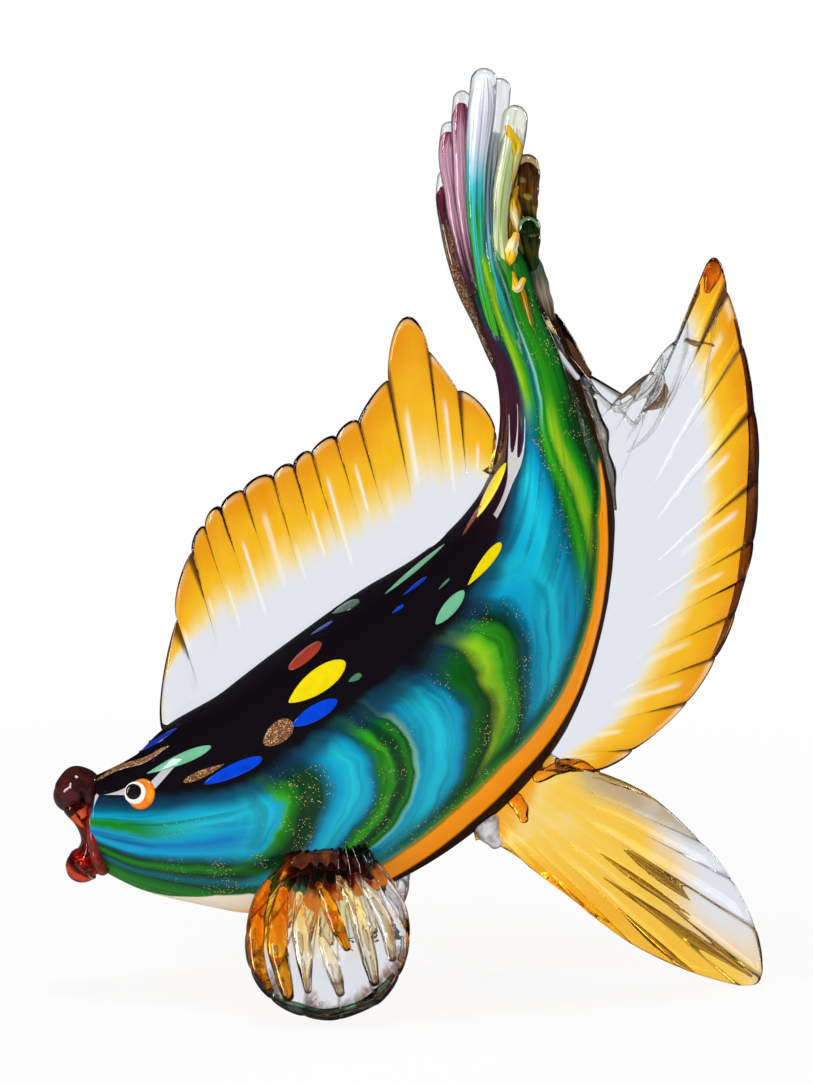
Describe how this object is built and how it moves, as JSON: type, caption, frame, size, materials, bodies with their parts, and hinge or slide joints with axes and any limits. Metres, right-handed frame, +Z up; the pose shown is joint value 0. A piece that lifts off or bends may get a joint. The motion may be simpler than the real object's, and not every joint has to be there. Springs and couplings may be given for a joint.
{
  "type": "fish figurine",
  "caption": "Leaping glass fish ornament that stands on its pectoral and pelvic fins, with ribbed fins and a fluted tail.",
  "frame": {"origin": "middle of the bounding box at the standing plane, in the fish's middle plane", "axes": "+Z up, the fish faces -X, +Y towards its right side"},
  "size_m": [0.2115, 0.1202, 0.28],
  "materials": {
    "amber_fin": "amber to clear glass, combed ribs",
    "amber_lobe": "amber glass",
    "amethyst_back": "near-black amethyst glass",
    "black_pupil": "opaque black glass",
    "blue_chip": "opaque blue glass chip",
    "clear_casing": "clear cased glass, fire polished",
    "clear_lobe": "clear grey glass",
    "copper_chip": "copper aventurine glass chip",
    "copper_lobe": "copper aventurine glass",
    "dark_lip": "dark ruby glass",
    "golden_fin": "golden amber glass, combed ribs",
    "green_lobe": "yellow-white glass with a green tip",
    "milky_lobe": "milky white glass with coloured canes",
    "mint_chip": "opaque mint glass chip",
    "olive_lobe": "olive glass",
    "orange_band": "ivory to orange opaque glass",
    "orange_eye": "orange glass bead",
    "plum_lobe": "plum glass",
    "red_chip": "opaque dark red glass chip",
    "red_lip": "translucent red-orange glass",
    "red_web": "translucent red glass",
    "rose_lobe": "plum-rose glass with red drops",
    "teal_bubble": "blown teal and green glass with gold flecks",
    "white_eye": "opaque white glass",
    "yellow_chip": "opaque yellow glass chip"
  },
  "bodies": {
    "figurine": {"anal_fin": "amber_fin", "back_overlay": "amethyst_back", "belly_band": "orange_band", "blue_chips": "blue_chip", "body_casing": "clear_casing", "colour_bubble": "teal_bubble", "copper_chips": "copper_chip", "dorsal_fin": "amber_fin", "left_eye_ball": "orange_eye", "left_eye_pupil": "black_pupil", "left_eye_white": "white_eye", "left_pectoral_fin": "amber_fin", "lip_web": "red_web", "lower_lip": "red_lip", "mint_chips": "mint_chip", "pelvic_fin": "golden_fin", "red_chips": "red_chip", "right_eye_ball": "orange_eye", "right_eye_pupil": "black_pupil", "right_eye_white": "white_eye", "right_pectoral_fin": "amber_fin", "tail_lobe_amber": "amber_lobe", "tail_lobe_clear": "clear_lobe", "tail_lobe_copper": "copper_lobe", "tail_lobe_green": "green_lobe", "tail_lobe_olive": "olive_lobe", "tail_lobe_plum": "plum_lobe", "tail_lobe_rose": "rose_lobe", "tail_lobe_white": "milky_lobe", "tail_trail": "amber_lobe", "upper_lip": "dark_lip", "yellow_chips": "yellow_chip"}
  },
  "joints": []
}
